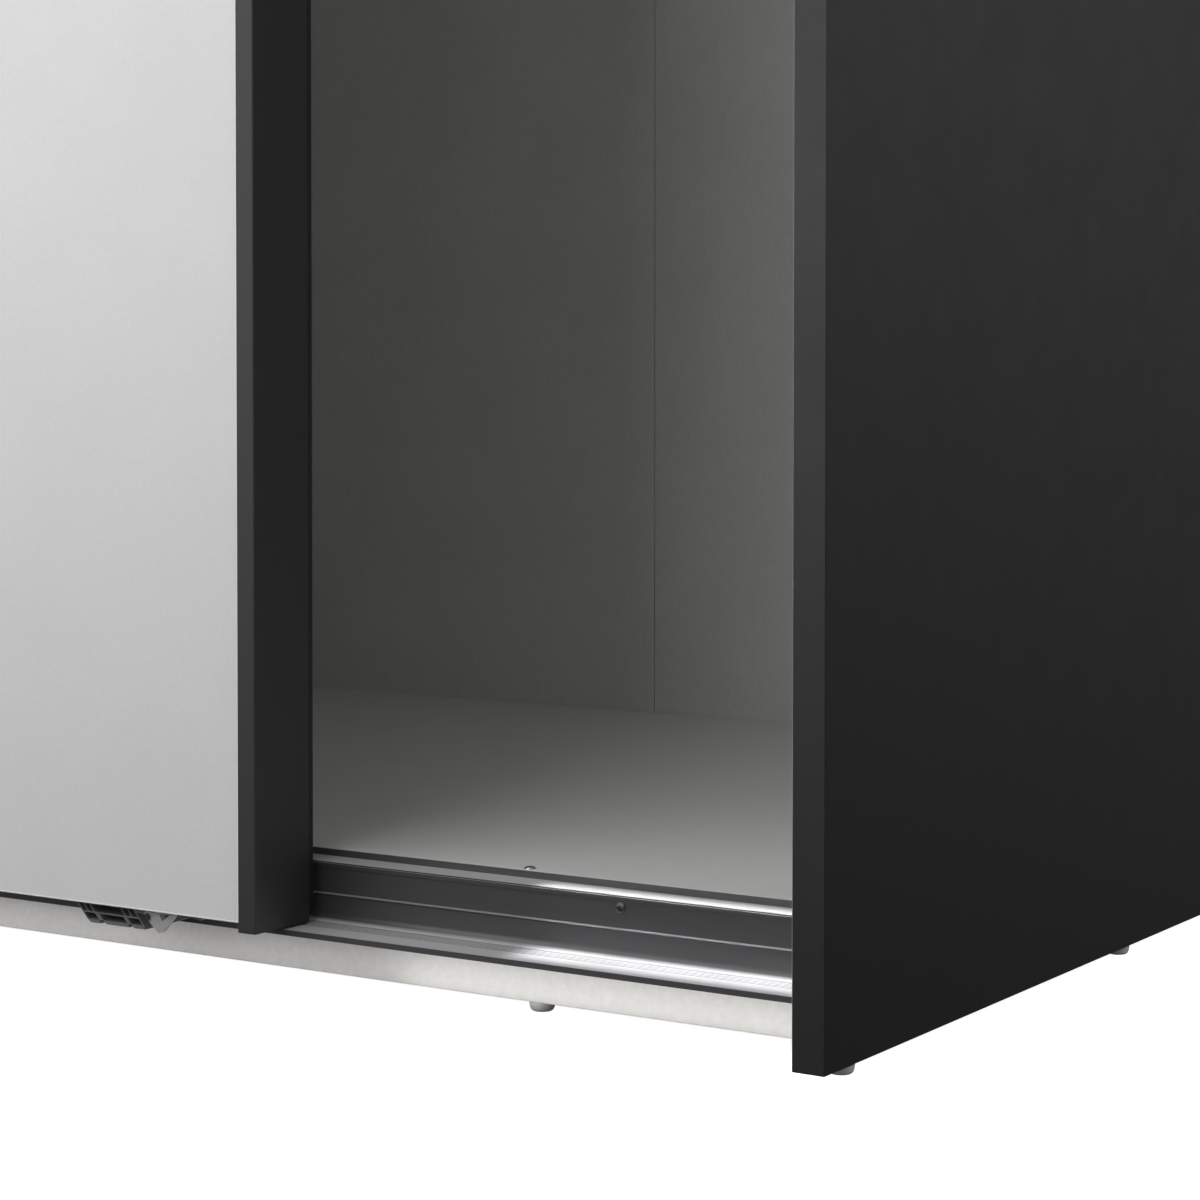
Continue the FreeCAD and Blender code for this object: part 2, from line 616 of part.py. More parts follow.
def seal(x_outer, into, y_back, low):
    """A dust seal on the profile's rear face: a foot and a soft tapered lip."""
    half = SEAL_WIDTH / 2
    x_middle = x_outer + into * (SEAL_INSET + half)
    tip = half * 0.5
    outline = [
        (x_middle - half, y_back), (x_middle + half, y_back), (x_middle + half, y_back + SEAL_FOOT),
        (x_middle + tip, y_back + SEAL_DEPTH), (x_middle - tip, y_back + SEAL_DEPTH),
        (x_middle - half, y_back + SEAL_FOOT),
    ]
    return along_z(outline, low, RAIL_BOTTOM - HANDLE_WALL * 3)


def door(name, left, right, face, bottom, depth, drop):
    """A door's panel, edge profiles, end caps and seals."""
    panel_left, panel_right = left + HANDLE_WIDTH, right - HANDLE_WIDTH
    back = face + DOOR_PANEL
    panel = board(panel_left, panel_right, face, back, bottom, DOOR_TOP)
    forward = Y_AXIS * -1
    hanger_back, guide_back = back + HANGER_THICKNESS, back + GUIDE_PLATE
    holes = [screw_hole(x, hanger_back, z, forward) for x, z in hanger_screw_places(left, right)]
    holes += [screw_hole(x, guide_back, z, forward) for x, z in guide_screw_places(name)]
    profile_bottom = bottom - drop + CAP_THICKNESS
    y_front = face - HANDLE_PROUD
    sides = {"left": (left, 1), "right": (right, -1)}
    pieces = {name + "_panel": cut_all(panel, holes)}
    for side, (x, into) in sides.items():
        pieces[f"{name}_handle_{side}"] = handle(x, into, y_front, depth, profile_bottom, DOOR_TOP, back)
    caps = [handle_caps(x, into, y_front, depth, profile_bottom) for x, into in sides.values()]
    seals = [seal(x, into, y_front + depth, profile_bottom + SEAL_END_GAP) for x, into in sides.values()]
    pieces[name + "_handle_caps"] = group(caps)
    pieces[name + "_seals"] = group(seals)
    return pieces


def hanger_places(left, right):
    return {"left": left + HANGER_INSET, "right": right - HANGER_INSET}


def hanger_screw_places(left, right):
    top = DOOR_TOP - HANGER_DROP
    middle = top - HANGER_LENGTH + HANGER_SCREW_MIDDLE
    rows = (middle - HANGER_SCREW_PITCH / 2, middle + HANGER_SCREW_PITCH / 2)
    return [
        (x + offset, z)
        for x in hanger_places(left, right).values()
        for offset in (-HANGER_WIDTH / 3, HANGER_WIDTH / 3)
        for z in rows
    ]


def rollers(name, left, right, back):
    """Hanger plates, axles, wheels and bearings of one door."""
    top = DOOR_TOP - HANGER_DROP
    plates, axles = [], []
    pieces = {}
    plate_back = back + HANGER_THICKNESS
    screw_cuts = [screw_hole(x, plate_back, z, Y_AXIS * -1) for x, z in hanger_screw_places(left, right)]
    middle = back + WHEEL_OFFSET + WHEEL_WIDTH / 2
    bearing_front = middle - BEARING_WIDTH / 2
    for side, x in hanger_places(left, right).items():
        plate = box(x - HANGER_WIDTH / 2, x + HANGER_WIDTH / 2, back, plate_back, top - HANGER_LENGTH, top)
        corners = [e for e in plate.Edges if abs(e.BoundBox.YLength - HANGER_THICKNESS) < 0.01]
        plate = plate.makeFillet(HANGER_WIDTH / 12, corners)
        stem_hole = rod(x, back - 1, WHEEL_AXIS, AXLE_RADIUS + AXLE_FIT, HANGER_THICKNESS + 2, Y_AXIS)
        plates.append(cut_all(plate, [stem_hole, *screw_cuts]))
        head_front = bearing_front + BEARING_WIDTH + AXLE_SIDE_FIT
        shoulder_length = bearing_front - AXLE_SIDE_FIT - plate_back
        stem = rod(x, back, WHEEL_AXIS, AXLE_RADIUS, head_front - back, Y_AXIS)
        shoulder = rod(x, plate_back, WHEEL_AXIS, AXLE_HEAD, shoulder_length, Y_AXIS)
        head = rod(x, head_front, WHEEL_AXIS, AXLE_HEAD, HANGER_THICKNESS, Y_AXIS)
        axles.append(stem.fuse(shoulder).fuse(head))
        pieces[f"{name}_wheel_{side}"] = wheel(x, back)
        pieces[f"{name}_bearing_{side}"] = bearing(x, bearing_front)
    pieces[name + "_hangers"] = group(plates)
    pieces[name + "_axles"] = group(axles)
    return pieces


def wheel(x, back):
    """A grooved wheel that straddles the track's bead."""
    y0 = back + WHEEL_OFFSET
    middle = y0 + WHEEL_WIDTH / 2
    y1 = y0 + WHEEL_WIDTH
    mouth = BEAD_RADIUS + WHEEL_GROOVE_FIT + WHEEL_GROOVE / 2
    floor = BEAD_RADIUS + WHEEL_GROOVE_FIT
    outline = [
        (y0, BEARING_RADIUS), (y1, BEARING_RADIUS), (y1, WHEEL_RADIUS), (middle + mouth, WHEEL_RADIUS),
        (middle + floor, WHEEL_RADIUS - WHEEL_GROOVE), (middle - floor, WHEEL_RADIUS - WHEEL_GROOVE),
        (middle - mouth, WHEEL_RADIUS), (y0, WHEEL_RADIUS),
    ]
    return turned(outline, x)


def bearing(x, y0):
    bore = AXLE_RADIUS + AXLE_FIT
    y1 = y0 + BEARING_WIDTH
    dish = (BEARING_RADIUS - AXLE_RADIUS) / 4
    outline = [
        (y0, bore), (y1, bore), (y1, bore + dish), (y1 - AXLE_FIT * 8, bore + dish),
        (y1 - AXLE_FIT * 8, BEARING_RADIUS - dish), (y1, BEARING_RADIUS - dish), (y1, BEARING_RADIUS),
        (y0, BEARING_RADIUS),
    ]
    return turned(outline, x)


def turned(outline, x):
    """The outline of (y, radius) points, turned about the roller's axis."""
    points = [FreeCAD.Vector(x, y, WHEEL_AXIS + r) for y, r in outline]
    face = Part.Face(Part.makePolygon([*points, points[0]]))
    return face.revolve(FreeCAD.Vector(x, 0, WHEEL_AXIS), Y_AXIS, 360)


# ---------------------------------------------------------------- bottom guides
GUIDE_TOP = BASE + FRONT_BOTTOM - GUIDE_GAP
GUIDE_BACK = FRONT + LIP_SET_BACK - GUIDE_GAP
GUIDE_PLATE_TOP = BASE + FRONT_BOTTOM + GUIDE_PLATE_HEIGHT
FRONT_GUIDE_TIPS = {
    "left": FRONT_LEFT + GUIDE_INSET + GUIDE_BODY + GUIDE_TAIL,
    "right": FRONT_RIGHT - GUIDE_INSET,
}
REAR_GUIDE_MIDDLES = (REAR_LEFT + GUIDE_INSET + GUIDE_BODY, REAR_RIGHT - GUIDE_INSET - GUIDE_BODY)


def guide_screw_places(name):
    if name == "front_door":
        starts = [tip - GUIDE_TAIL - GUIDE_BODY / 2 for tip in FRONT_GUIDE_TIPS.values()]
        level = GUIDE_PLATE_TOP - GUIDE_PLATE_HEIGHT / 3
    else:
        starts = REAR_GUIDE_MIDDLES
        level = BASE + REAR_BOTTOM + GUIDE_PLATE_HEIGHT * 2 / 3
    return [(x + offset, level) for x in starts for offset in (-GUIDE_BODY / 4, GUIDE_BODY / 4)]


def leaning(x0, x1, z0, z1, top):
    """A cell whose upright sides lean to the right as they go down from the top."""
    shear = GUIDE_LEAN / GUIDE_DROP
    a, b = (top - z1) * shear, (top - z0) * shear
    return [(x0 + a, z1), (x1 + a, z1), (x1 + b, z0), (x0 + b, z0)]


def lobed(left, span, low):
    """The guide body's outline: a straight top, leaning ends and rounded lobes below."""
    rise = low + GUIDE_LOBE_RISE
    lower_edge = []
    for start, end in reversed(GUIDE_LOBES):
        a, b = left + span * start, left + span * end
        lower_edge += [(b, rise), (b - GUIDE_RIB, low), (a + GUIDE_RIB, low), (a, rise)]
    points = [(left, GUIDE_TOP), (left + span, GUIDE_TOP), *lower_edge]
    return [(x + (GUIDE_TOP - z) * GUIDE_LEAN / GUIDE_DROP, z) for x, z in points]


def front_guide(tip):
    """A ribbed shoe under the front door that hooks under the lower rail's lip."""
    right = tip - GUIDE_TAIL
    left = right - GUIDE_BODY
    low = BASE + FRONT_BOTTOM - GUIDE_DROP
    y0 = FRONT + GUIDE_FACE
    span = right - GUIDE_LEAN - left
    shoe = along_y(lobed(left, span, low), y0, GUIDE_BACK)
    end_rib = box(right - GUIDE_LEAN, right, y0, GUIDE_BACK, GUIDE_TOP - GUIDE_RIB * 3, GUIDE_TOP)
    middle = (low + GUIDE_TOP) / 2
    upper = (middle + GUIDE_RIB / 2, GUIDE_TOP - GUIDE_RIB)
    lower = (low + GUIDE_LOBE_RISE, middle - GUIDE_RIB / 2)
    cells = [(*upper, *ends) for ends in zip(GUIDE_UPPER_WALLS, GUIDE_UPPER_WALLS[1:])]
    cells += [(*lower, *ends) for ends in GUIDE_LOBES]
    pockets = []
    for z0, z1, start, end in cells:
        x0 = left + span * start + GUIDE_RIB * (1 if start == 0 else 0.5)
        x1 = left + span * end - GUIDE_RIB * (1 if end == 1 else 0.5)
        pockets.append(along_y(leaning(x0, x1, z0, z1, GUIDE_TOP), y0 - 1, GUIDE_BACK - GUIDE_RIB))
    shoe = cut_all(shoe.fuse(end_rib), pockets)
    tail = [
        (right - GUIDE_LEAN, GUIDE_TOP), (tip, GUIDE_TOP),
        (tip - GUIDE_LEAN * 0.3, GUIDE_TOP - GUIDE_RIB * 5), (tip - GUIDE_LEAN, GUIDE_TOP - GUIDE_RIB * 4),
        (right + GUIDE_RIB * 2, low + GUIDE_RIB), (right, low),
    ]
    shoe = shoe.fuse(along_y(tail, GUIDE_BACK - GUIDE_PLATE * 2, GUIDE_BACK))
    plate_bottom = GUIDE_TOP - HOOK_THICKNESS
    back_plate = box(left, right, FRONT_BACK, FRONT_BACK + GUIDE_PLATE, plate_bottom, GUIDE_PLATE_TOP)
    toe_front = FRONT + LIP_SET_BACK + LIP_THICKNESS + HOOK_GAP
    toe_back = toe_front + HOOK_THICKNESS
    hook_top = BASE + LIP_BOTTOM - HOOK_GAP
    toe_top = BASE + LEDGE_LEVEL - RAIL_WALL - HOOK_GAP
    hook = [
        (GUIDE_BACK - GUIDE_RIB, hook_top - HOOK_THICKNESS), (toe_back, hook_top - HOOK_THICKNESS),
        (toe_back, toe_top), (toe_front, toe_top), (toe_front, hook_top), (GUIDE_BACK - GUIDE_RIB, hook_top),
    ]
    shoe = shoe.fuse(back_plate).fuse(along_x(hook, left + GUIDE_LEAN, right - GUIDE_LEAN))
    plate_back = FRONT_BACK + GUIDE_PLATE
    cuts = [screw_hole(x, plate_back, z, Y_AXIS * -1) for x, z in guide_screw_places("front_door")]
    pin_x, pin_z = lever_pivot(tip)
    cuts.append(rod(pin_x, y0 - 1, pin_z, PIN_RADIUS, GUIDE_BACK - y0 + 2, Y_AXIS))
    return cut_all(shoe, cuts).removeSplitter()


def lever_pivot(tip):
    return tip - GUIDE_TAIL + LEVER_THICKNESS, GUIDE_TOP - LEVER_THICKNESS


def guide_lever(tip):
    """The release lever: a wedge with an opening, on a pin in front of the guide's tail."""
    right = tip - GUIDE_TAIL
    y1 = FRONT + GUIDE_FACE - RUN_GAP
    y0 = y1 - LEVER_THICKNESS
    low = GUIDE_TOP - LEVER_DROP
    wedge = [
        (right, GUIDE_TOP - LEVER_CORNER), (right + LEVER_CORNER, GUIDE_TOP),
        (right + LEVER_LENGTH, GUIDE_TOP), (right + LEVER_LENGTH * 0.97, GUIDE_TOP - GUIDE_RIB * 2),
        (right + LEVER_LENGTH * 0.62, low + GUIDE_RIB), (right + LEVER_LENGTH * 0.52, low),
        (right + LEVER_LENGTH * 0.44, low + GUIDE_RIB),
    ]
    window = [
        (right + LEVER_LENGTH * 0.52, GUIDE_TOP - GUIDE_RIB),
        (right + LEVER_LENGTH * 0.86, GUIDE_TOP - GUIDE_RIB),
        (right + LEVER_LENGTH * 0.62, GUIDE_TOP - LEVER_DROP * 0.42),
    ]
    pin_x, pin_z = lever_pivot(tip)
    hole = rod(pin_x, y0 - 1, pin_z, PIN_RADIUS + AXLE_FIT, LEVER_THICKNESS + 2, Y_AXIS)
    return cut_all(along_y(wedge, y0, y1), [along_y(window, y0 - 1, y1 + 1), hole])


def guide_pin(tip):
    """The lever's pin, with a head in front of the lever."""
    pin_x, pin_z = lever_pivot(tip)
    head_back = FRONT + GUIDE_FACE - RUN_GAP - LEVER_THICKNESS - AXLE_SIDE_FIT
    shank = rod(pin_x, head_back, pin_z, PIN_RADIUS, GUIDE_BACK - head_back, Y_AXIS)
    head = rod(pin_x, head_back - PIN_HEAD_HEIGHT, pin_z, PIN_HEAD, PIN_HEAD_HEIGHT, Y_AXIS)
    return shank.fuse(head)


def rear_guides():
    """Saddles that straddle the front edge of the track under the rear door."""
    face = PLINTH_FACE - RAIL_WALL
    track = BASE + TRACK_LEVEL
    leg = face - BEAD_PROUD - GUIDE_GAP
    step = PLINTH_FACE + STEP_OFFSET
    y_back = REAR_BACK + GUIDE_PLATE
    top = BASE + REAR_BOTTOM - RUN_GAP
    outline = [
        (leg - HOOK_THICKNESS, top), (leg - HOOK_THICKNESS, track - HOOK_THICKNESS),
        (leg, track - HOOK_THICKNESS), (leg, FLOOR + GUIDE_GAP),
        (step - GUIDE_GAP - HOOK_THICKNESS * 2, FLOOR + GUIDE_GAP),
        (step - GUIDE_GAP - HOOK_THICKNESS * 2, track + GUIDE_GAP), (step - GUIDE_GAP, track + GUIDE_GAP),
        (step - GUIDE_GAP, FLOOR + GUIDE_GAP), (y_back, FLOOR + GUIDE_GAP),
        (y_back, top + GUIDE_PLATE_HEIGHT), (REAR_BACK, top + GUIDE_PLATE_HEIGHT), (REAR_BACK, top),
    ]
    half = REAR_GUIDE_LENGTH / 2
    cuts = [screw_hole(x, y_back, z, Y_AXIS * -1) for x, z in guide_screw_places("rear_door")]
    return group([cut_all(along_x(outline, x - half, x + half), cuts) for x in REAR_GUIDE_MIDDLES])


# ---------------------------------------------------------------- fastenings
def anchor_screw_places():
    inset = ANCHOR_WIDTH / 4
    y, z = REAR - ANCHOR_DEPTH / 2, HEIGHT + ANCHOR_STEEL
    return [(x + side * inset, y, z) for x in ANCHORS for side in (-1, 1)]


def wall_anchors():
    """Steel angles on the top board, each with one hole for a wall screw."""
    half = ANCHOR_WIDTH / 2
    cuts = [screw_hole(*place, Z_AXIS * -1) for place in anchor_screw_places()]
    solids = []
    for x in ANCHORS:
        flat = box(x - half, x + half, REAR - ANCHOR_DEPTH, REAR, HEIGHT, HEIGHT + ANCHOR_STEEL)
        upright = box(x - half, x + half, REAR - ANCHOR_STEEL, REAR, HEIGHT, HEIGHT + ANCHOR_HEIGHT)
        hole_level = HEIGHT + ANCHOR_HEIGHT * 0.6
        wall_hole = rod(x, REAR - ANCHOR_STEEL - 1, hole_level, ANCHOR_HOLE, ANCHOR_STEEL + 2, Y_AXIS)
        solids.append(cut_all(flat.fuse(upright).removeSplitter(), [wall_hole, *cuts]))
    return group(solids)


def screws():
    face = PLINTH_FACE - RAIL_WALL
    down = Z_AXIS * -1
    carcass = [screw(x, UPPER_SCREW_ROW, CEILING - RAIL_PLATE, Z_AXIS) for x in UPPER_SCREW_PLACES]
    carcass += [screw(x, y, FLOOR, down, BOARD + SCREW_LENGTH) for x, y in floor_screw_places()]
    carcass += [screw(*place, down) for place in anchor_screw_places()]
    return {
        "lower_rail_screws": [screw(x, face, BASE + RAIL_SCREW_LEVEL, Y_AXIS) for x in RAIL_SCREW_PLACES],
        "carcass_screws": carcass,
        "front_door_fasteners": door_fasteners("front_door", FRONT_LEFT, FRONT_RIGHT, FRONT_BACK),
        "rear_door_fasteners": door_fasteners("rear_door", REAR_LEFT, REAR_RIGHT, REAR_BACK),
    }


def door_fasteners(name, left, right, back):
    """The screws of a door's hangers and guides, and the height adjusters on its hangers."""
    forward = Y_AXIS * -1
    plate_back = back + HANGER_THICKNESS
    hangers = [screw(x, plate_back, z, forward) for x, z in hanger_screw_places(left, right)]
    guides = [screw(x, back + GUIDE_PLATE, z, forward) for x, z in guide_screw_places(name)]
    level = DOOR_TOP - HANGER_DROP - HANGER_LENGTH + HANGER_SCREW_MIDDLE
    adjusters = [adjuster(x, plate_back, level) for x in hanger_places(left, right).values()]
    return hangers + guides + adjusters


def adjuster(x, y, z):
    """An eccentric disc with a screwdriver slot."""
    disc = rod(x, y, z, ADJUSTER_RADIUS, HANGER_THICKNESS, Y_AXIS)
    slot = box(
        x - ADJUSTER_RADIUS / 2, x + ADJUSTER_RADIUS / 2, y + HANGER_THICKNESS / 2, y + HANGER_THICKNESS + 1,
        z - ADJUSTER_RADIUS / 8, z + ADJUSTER_RADIUS / 8,
    )
    return disc.cut(slot)


# ---------------------------------------------------------------- the whole wardrobe
def wardrobe():
    nodes = {}
    nodes.update(side_panels())
    nodes["centre_partition"] = centre_partition()
    nodes["top_board"] = top_board()
    nodes.update(bottom_boards())
    nodes.update(plinths())
    nodes["floor_stringers"] = floor_stringers()
    nodes.update(back_panels())
    nodes["glides"] = glides()
    nodes.update(connectors())
    nodes.update(hat_shelves())
    nodes["shelf_supports"] = shelf_supports()
    nodes.update(clothes_rails())
    nodes["lower_rail"] = lower_rail()
    nodes["upper_rail"] = upper_rail()
    nodes["rail_end_stops"] = rail_end_stops()
    nodes["wall_anchors"] = wall_anchors()
    nodes.update({name: group(solids) for name, solids in screws().items()})
    front = (FRONT_LEFT, FRONT_RIGHT, FRONT_FACE, BASE + FRONT_BOTTOM, FRONT_HANDLE_DEPTH, HANDLE_DROP)
    rear = (REAR_LEFT, REAR_RIGHT, REAR_FACE, BASE + REAR_BOTTOM, REAR_HANDLE_DEPTH, REAR_HANDLE_DROP)
    nodes.update(door("front_door", *front))
    nodes.update(door("rear_door", *rear))
    nodes.update(rollers("front_door", FRONT_LEFT, FRONT_RIGHT, FRONT_BACK))
    nodes.update(rollers("rear_door", REAR_LEFT, REAR_RIGHT, REAR_BACK))
    for side, tip in FRONT_GUIDE_TIPS.items():
        nodes["front_guide_" + side] = front_guide(tip)
        nodes["front_guide_lever_" + side] = guide_lever(tip)
    nodes["front_guide_pins"] = group([guide_pin(tip) for tip in FRONT_GUIDE_TIPS.values()])
    nodes["rear_guides"] = rear_guides()
    return nodes


os.makedirs("parts", exist_ok=True)
for node, shape in wardrobe().items():
    shape.exportStep(f"parts/{node}.step")
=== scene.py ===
import json
import math

import bmesh
import bpy
from mathutils import Matrix, Vector


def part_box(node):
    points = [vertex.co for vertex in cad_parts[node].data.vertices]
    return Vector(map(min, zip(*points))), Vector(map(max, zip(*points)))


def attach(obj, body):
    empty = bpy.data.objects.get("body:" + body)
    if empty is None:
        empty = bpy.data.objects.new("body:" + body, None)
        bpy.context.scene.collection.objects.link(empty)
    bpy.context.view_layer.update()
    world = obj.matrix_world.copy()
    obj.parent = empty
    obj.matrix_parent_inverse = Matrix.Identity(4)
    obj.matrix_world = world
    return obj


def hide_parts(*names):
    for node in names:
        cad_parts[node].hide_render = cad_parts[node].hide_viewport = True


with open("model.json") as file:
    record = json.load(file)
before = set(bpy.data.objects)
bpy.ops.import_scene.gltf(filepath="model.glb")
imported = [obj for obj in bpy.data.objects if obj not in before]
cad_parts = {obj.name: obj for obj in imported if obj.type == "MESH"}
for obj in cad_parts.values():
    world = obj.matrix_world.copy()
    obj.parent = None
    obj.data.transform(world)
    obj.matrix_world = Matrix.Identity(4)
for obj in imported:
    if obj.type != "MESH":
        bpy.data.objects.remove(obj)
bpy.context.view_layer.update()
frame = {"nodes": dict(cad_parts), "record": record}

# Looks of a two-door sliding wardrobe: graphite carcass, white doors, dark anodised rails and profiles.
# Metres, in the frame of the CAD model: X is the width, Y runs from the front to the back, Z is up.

MM = 0.001

# ---------------------------------------------------------------- places read from the model
SIDE_LOW, SIDE_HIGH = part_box("side_panel_right")
TOP_LOW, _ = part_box("top_board")
_, BACK_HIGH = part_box("back_panel_right_outer")

# ---------------------------------------------------------------- chosen values
SKIN = 0.3 * MM             # decor foil and a hair of the eased edge
EDGE_BAND = 1.0 * MM        # thickness of the doors' edge band
SMOOTH_BELOW = math.radians(35)          # edges that bend less than this are shaded smooth

# Recessed screws. The outline is (radius, height) in millimetres, and the recess is two crossed arms.
HEAD_OUTLINE = [(0, 0), (2.8, 0), (2.76, 0.3), (2.5, 0.68), (2.0, 0.98), (1.2, 1.2), (0.5, 1.29), (0, 1.3)]
HEAD_HEIGHT = 1.3 * MM
ARM_WIDTH, ARM_LENGTH, ARM_DEPTH, ARM_MIDDLE = 0.75, 3.3, 1.6, 1.2     # millimetres
ARM_TAPER = 0.55                         # how wide an arm still is at its foot
SHANK_RADIUS, SHANK_TIP_RADIUS = 1.7 * MM, 0.9 * MM
SHANK_STRAIGHT = 0.85                    # the part of the shank before its point
# The glides' outline is (radius, height) as parts of the glide's own, from the tread up.
GLIDE_OUTLINE = [(0, 0), (0.55, 0), (0.74, 0.05), (0.88, 0.17), (0.96, 0.38), (1, 0.7), (1, 1), (0, 1)]

WORLD_HIGH, WORLD_LOW = 0.25, 0.03       # brightness of the dome above and below the horizon
FLOOR_GLOW = 0.95                        # the floor's own glow, which makes it plain white
FRONT_POWER, RIGHT_POWER, TOP_POWER = 38.0, 13.0, 16.0       # softboxes, watts
LEFT_POWER, BACK_POWER = 14.0, 30.0
BOUNCE_POWER, BOUNCE_END_POWER, RAIL_STRIP_POWER = 0.2, 0.04, 0.036


# ---------------------------------------------------------------- small tools
def linear(code):
    """An sRGB hex colour as linear RGBA."""
    channels = [int(code[i:i + 2], 16) / 255 for i in (0, 2, 4)]
    curve = [c / 12.92 if c <= 0.04045 else ((c + 0.055) / 1.055) ** 2.4 for c in channels]
    return (*curve, 1.0)


def add(tree, kind, inputs=None, **settings):
    """Adds a node with its settings; an input is a value, or a socket to link from."""
    node = tree.nodes.new(kind)
    for name, value in settings.items():
        setattr(node, name, value)
    for name, value in (inputs or {}).items():
        if isinstance(value, bpy.types.NodeSocket):
            tree.links.new(value, node.inputs[name])
        else:
            node.inputs[name].default_value = value
    return node


def material(name, **shader):
    """A new material with these sockets of its shader set; returns it, its node tree and the shader."""
    made = bpy.data.materials.new(name)
    made.use_nodes = True
    bsdf = made.node_tree.nodes["Principled BSDF"]
    for socket, value in shader.items():
        bsdf.inputs[socket.replace("_", " ")].default_value = value
    return made, made.node_tree, bsdf


def blotch(tree, size, low, high, detail=3.0, stretch=(1, 1, 1)):
    """Noise of about this size in metres, spread from low to high."""
    place = add(tree, "ShaderNodeTexCoord").outputs["Object"]
    scaled = add(tree, "ShaderNodeMapping", {"Vector": place, "Scale": stretch}).outputs["Vector"]
    noise = add(tree, "ShaderNodeTexNoise", {"Vector": scaled, "Scale": 1 / size, "Detail": detail})
    spread = add(tree, "ShaderNodeMapRange", {"Value": noise.outputs["Fac"], "From Min": 0.3,
                                              "From Max": 0.7, "To Min": low, "To Max": high})
    return spread.outputs["Result"]


def shaded(tree, colour, factor):
    """The colour times a grey factor, as a socket. The colour is a value or a socket."""
    base = colour[:3] if isinstance(colour, tuple) else colour
    mixed = add(tree, "ShaderNodeVectorMath", {0: base, 1: factor}, operation="MULTIPLY")
    return mixed.outputs["Vector"]


# ---------------------------------------------------------------- boards
def melamine(name, code, roughness, inner=None, band=None):
    """Melamine-faced board pressed against a fine pearl plate: even colour, soft broken gloss.

    inner is (axis, limit, code): the face on the near side of the limit has the other decor.
    band is (node, code): a 1 mm edge band round that upright board, seen edge-on as a fine line; its lighter
    white is partly the band's own colour and partly a painted highlight on the eased edge."""
    made, tree, bsdf = material(name, IOR=1.5)
    colour = linear(code)
    if inner:
        axis, limit, inner_code = inner
        place = add(tree, "ShaderNodeTexCoord").outputs["Object"]
        along = add(tree, "ShaderNodeSeparateXYZ", {"Vector": place}).outputs[axis]
        size = add(tree, "ShaderNodeMath", {0: along}, operation="ABSOLUTE").outputs[0]
        inside = add(tree, "ShaderNodeMath", {0: size, 1: limit}, operation="LESS_THAN").outputs[0]
        mixed = add(tree, "ShaderNodeMix", {"Factor": inside, "A": colour, "B": linear(inner_code)},
                    data_type="RGBA")
        colour = mixed.outputs["Result"]
    # Edge band: a 1 mm frame painted lighter than the face, partly the band's own white and partly a painted
    # highlight on the eased edge.
    if band:
        node, band_highlight_code = band
        (x0, _, z0), (x1, _, z1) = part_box(node)
        place = add(tree, "ShaderNodeTexCoord").outputs["Object"]
        x, _, z = add(tree, "ShaderNodeSeparateXYZ", {"Vector": place}).outputs
        distances = [add(tree, "ShaderNodeMath", {0: a, 1: b}, operation="SUBTRACT").outputs[0]
                     for a, b in ((x, x0), (x1, x), (z, z0), (z1, z))]
        nearest = distances[0]
        for distance in distances[1:]:
            nearest = add(tree, "ShaderNodeMath", {0: nearest, 1: distance}, operation="MINIMUM").outputs[0]
        edge = add(tree, "ShaderNodeMath", {0: nearest, 1: EDGE_BAND}, operation="LESS_THAN").outputs[0]
        mixed = add(tree, "ShaderNodeMix", {"Factor": edge, "A": colour, "B": linear(band_highlight_code)},
                    data_type="RGBA")
        colour = mixed.outputs["Result"]
    # Slow unevenness of the print, 60 mm across, and flecks of 1.5 mm that stand for the finer paper fibres.
    uneven = blotch(tree, 60 * MM, 0.988, 1.012)
    fleck = blotch(tree, 1.5 * MM, 0.982, 1.018, detail=1.0)
    tone = add(tree, "ShaderNodeMath", {0: uneven, 1: fleck}, operation="MULTIPLY").outputs[0]
    tree.links.new(shaded(tree, colour, tone), bsdf.inputs["Base Color"])
    gloss = blotch(tree, 25 * MM, roughness - 0.03, roughness + 0.04)
    tree.links.new(gloss, bsdf.inputs["Roughness"])
    # Pearl texture, really 0.4 mm, drawn at 1 mm so that it shows.
    pearl = blotch(tree, 1.0 * MM, 0.0, 1.0, detail=2.0)
    bump = add(tree, "ShaderNodeBump", {"Height": pearl, "Strength": 0.12, "Distance": 0.05 * MM})
    tree.links.new(bump.outputs["Normal"], bsdf.inputs["Normal"])
    return made


def linen_board(name, code, roughness):
    """Board with a printed linen decor: crossed threads about 2 mm apart, slightly warm, matt."""
    made, tree, bsdf = material(name, IOR=1.5)
    warp = blotch(tree, 2 * MM, 0.985, 1.015, detail=2.0, stretch=(1, 1, 0.5))
    weft = blotch(tree, 2 * MM, 0.985, 1.015, detail=2.0, stretch=(0.5, 1, 1))
    cloud = blotch(tree, 4 * MM, 0.96, 1.03, detail=5.0)
    crossed = add(tree, "ShaderNodeMath", {0: warp, 1: weft}, operation="MULTIPLY").outputs[0]
    tone = add(tree, "ShaderNodeMath", {0: crossed, 1: cloud}, operation="MULTIPLY").outputs[0]
    tree.links.new(shaded(tree, linear(code), tone), bsdf.inputs["Base Color"])
    gloss = blotch(tree, 6 * MM, roughness - 0.05, roughness + 0.05)
    tree.links.new(gloss, bsdf.inputs["Roughness"])
    bump = add(tree, "ShaderNodeBump", {"Height": crossed, "Strength": 0.2, "Distance": 0.1 * MM})
    tree.links.new(bump.outputs["Normal"], bsdf.inputs["Normal"])
    return made


